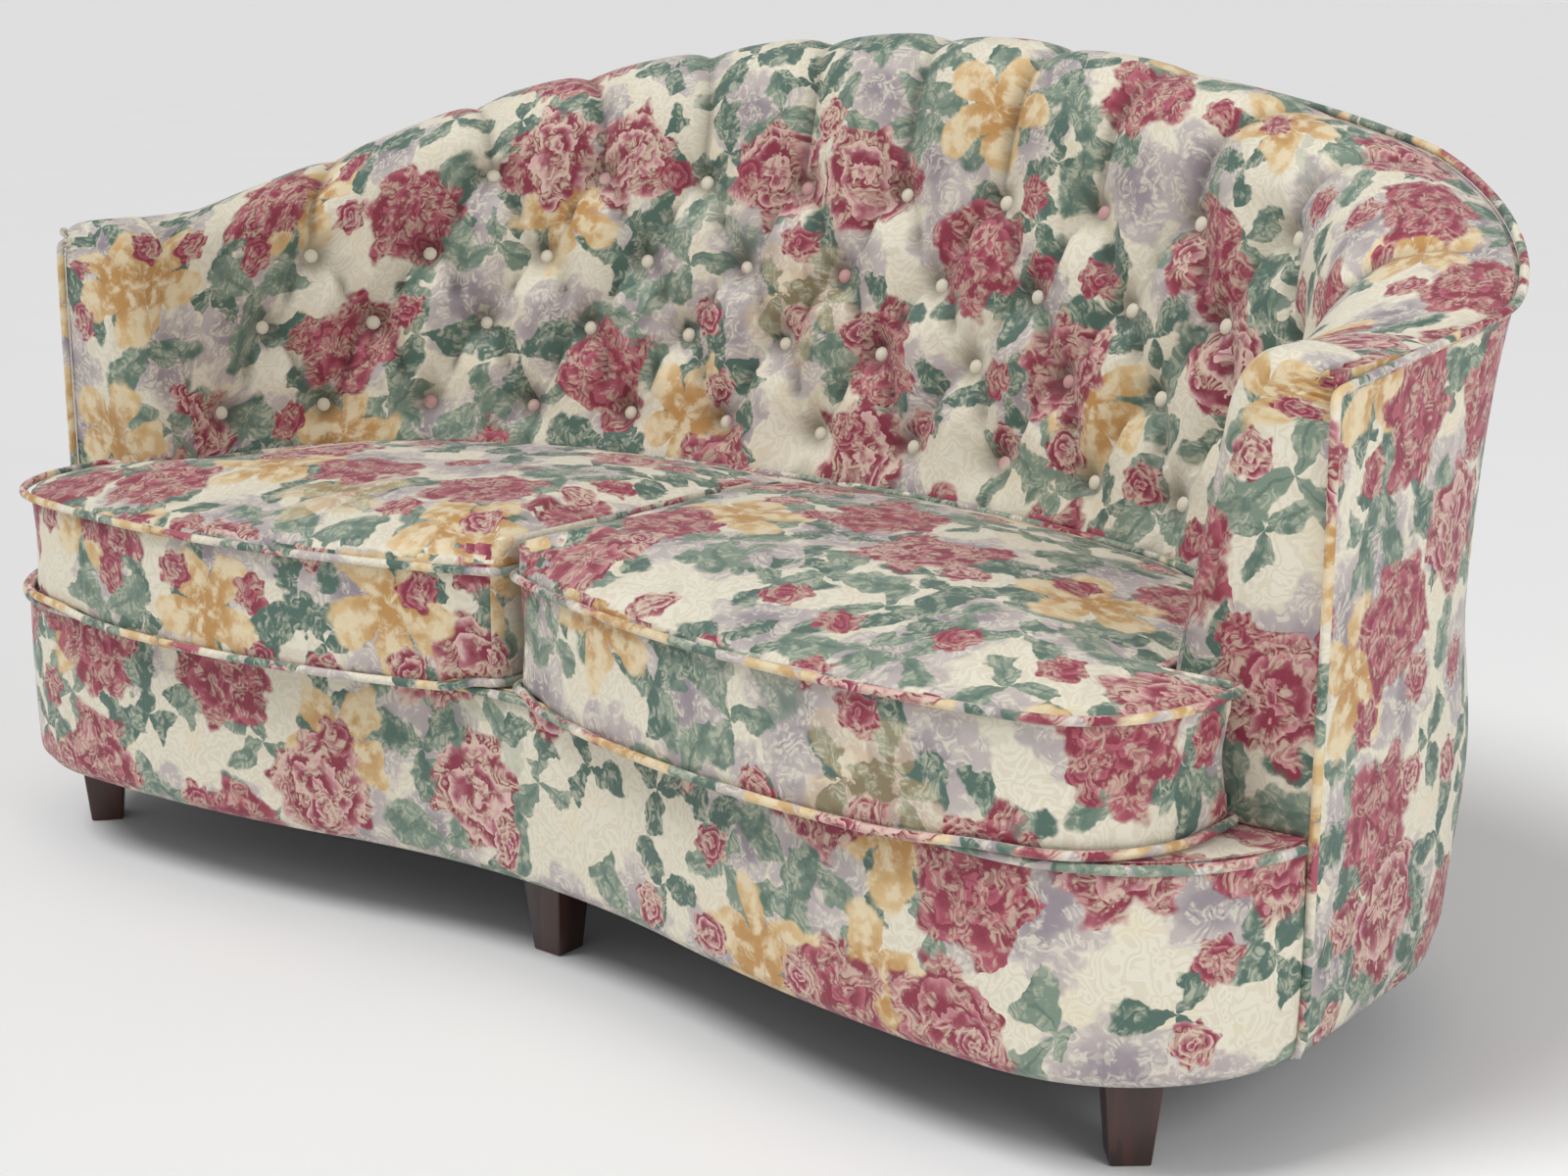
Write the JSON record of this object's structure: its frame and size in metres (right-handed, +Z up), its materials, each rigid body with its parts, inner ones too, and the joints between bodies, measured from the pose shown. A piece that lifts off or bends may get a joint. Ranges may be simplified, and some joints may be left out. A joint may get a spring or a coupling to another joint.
{
  "type": "tub sofa",
  "caption": "Curved tub sofa with a kidney-shaped front, a deep-buttoned back that slopes down into rolled arms, loose piped seat cushions and short tapered wooden legs.",
  "frame": {"origin": "on the floor under the middle of the sofa's bounding box", "axes": "+X to the right seen from the front, the front faces -Y, +Z up"},
  "size_m": [1.6649, 0.9244, 0.9037],
  "materials": {
    "floral_fabric": "woven floral on a cream ground",
    "piping_fabric": "self-fabric piping",
    "leg_wood": "dark reddish-brown satin",
    "frame_wood": "plain sawn hardwood",
    "webbing": "woven strap",
    "dust_cloth": "thin black cloth",
    "bolt_steel": "plain steel"
  },
  "bodies": {
    "sofa": {"front_rail": "frame_wood", "back_rail": "frame_wood", "left_corner_rail": "frame_wood", "right_corner_rail": "frame_wood", "left_side_rail": "frame_wood", "right_side_rail": "frame_wood", "cross_rail": "frame_wood", "left_arm_post": "frame_wood", "right_arm_post": "frame_wood", "back_uprights": "frame_wood", "top_rail": "frame_wood", "glue_blocks": "frame_wood", "leg_bolts": "bolt_steel", "seat_webbing": "webbing", "dust_cover": "dust_cloth", "seat_deck": "floral_fabric", "front_border": "floral_fabric", "border_welt": "piping_fabric", "left_outside_arm": "floral_fabric", "outside_back": "floral_fabric", "right_outside_arm": "floral_fabric", "outside_welt": "piping_fabric", "left_arm_facing": "floral_fabric", "right_arm_facing": "floral_fabric", "inside_back": "floral_fabric", "back_buttons": "floral_fabric", "front_left_leg": "leg_wood", "front_centre_leg": "leg_wood", "front_right_leg": "leg_wood", "rear_left_leg": "leg_wood", "rear_right_leg": "leg_wood"},
    "left_seat_cushion": {"left_cushion": "floral_fabric", "left_cushion_welts": "piping_fabric"},
    "right_seat_cushion": {"right_cushion": "floral_fabric", "right_cushion_welts": "piping_fabric"}
  },
  "joints": [
    {"name": "left_cushion_lift", "type": "slide", "parent": "sofa", "child": "left_seat_cushion", "axis": [0, 0, 1], "range_m": [0, 0.65]},
    {"name": "right_cushion_lift", "type": "slide", "parent": "sofa", "child": "right_seat_cushion", "axis": [0, 0, 1], "range_m": [0, 0.65]}
  ]
}
